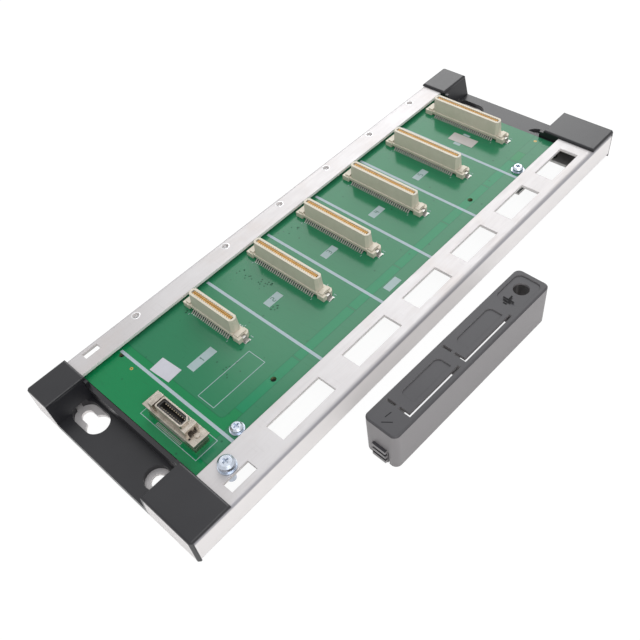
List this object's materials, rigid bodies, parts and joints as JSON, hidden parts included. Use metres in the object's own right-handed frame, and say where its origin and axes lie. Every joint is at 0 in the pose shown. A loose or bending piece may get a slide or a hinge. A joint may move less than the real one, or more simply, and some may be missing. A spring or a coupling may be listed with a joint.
{
  "type": "plc backplane",
  "caption": "Metal channel base for plug-in controller modules: a circuit board with card-edge sockets between two moulded ends, with its loose connector cover.",
  "frame": {"origin": "middle of the chassis on its flat back face, which lies on the ground", "axes": "+X along the row of slots from the extension connector end, +Y from the windowed flange to the screw flange, +Z out of the back towards the modules"},
  "size_m": [0.292, 0.1423, 0.0221],
  "materials": {
    "bare_sheet": "satin, fine grain",
    "black_moulding": "fine texture",
    "green_board": "solder mask over glass laminate",
    "plated_steel": "zinc plate",
    "plated_shell": "tin plate",
    "dark_insulator": "moulded",
    "gold_plate": "gold flash",
    "cream_insulator": "glass-filled moulding",
    "label_paper": "blank adhesive label"
  },
  "bodies": {
    "root": {"backplane_board": "green_board", "board_screw_washers": "plated_steel", "board_screws": "plated_steel", "board_standoffs": "plated_steel", "chassis": "bare_sheet", "connector_clips": "plated_steel", "connector_cover": "black_moulding", "cpu_connector_contacts": "gold_plate", "cpu_connector_housing": "cream_insulator", "earth_flat_washer": "plated_steel", "earth_screw": "plated_steel", "earth_spring_washer": "plated_steel", "extension_connector_contacts": "gold_plate", "extension_connector_insulator": "dark_insulator", "extension_connector_rivets": "plated_shell", "extension_connector_shell": "plated_shell", "io0_connector_contacts": "gold_plate", "io0_connector_housing": "cream_insulator", "io1_connector_contacts": "gold_plate", "io1_connector_housing": "cream_insulator", "io2_connector_contacts": "gold_plate", "io2_connector_housing": "cream_insulator", "io3_connector_contacts": "gold_plate", "io3_connector_housing": "cream_insulator", "left_end_moulding": "black_moulding", "left_label": "label_paper", "power_connector_contacts": "gold_plate", "power_connector_housing": "cream_insulator", "right_end_moulding": "black_moulding", "right_label": "label_paper"}
  },
  "joints": []
}
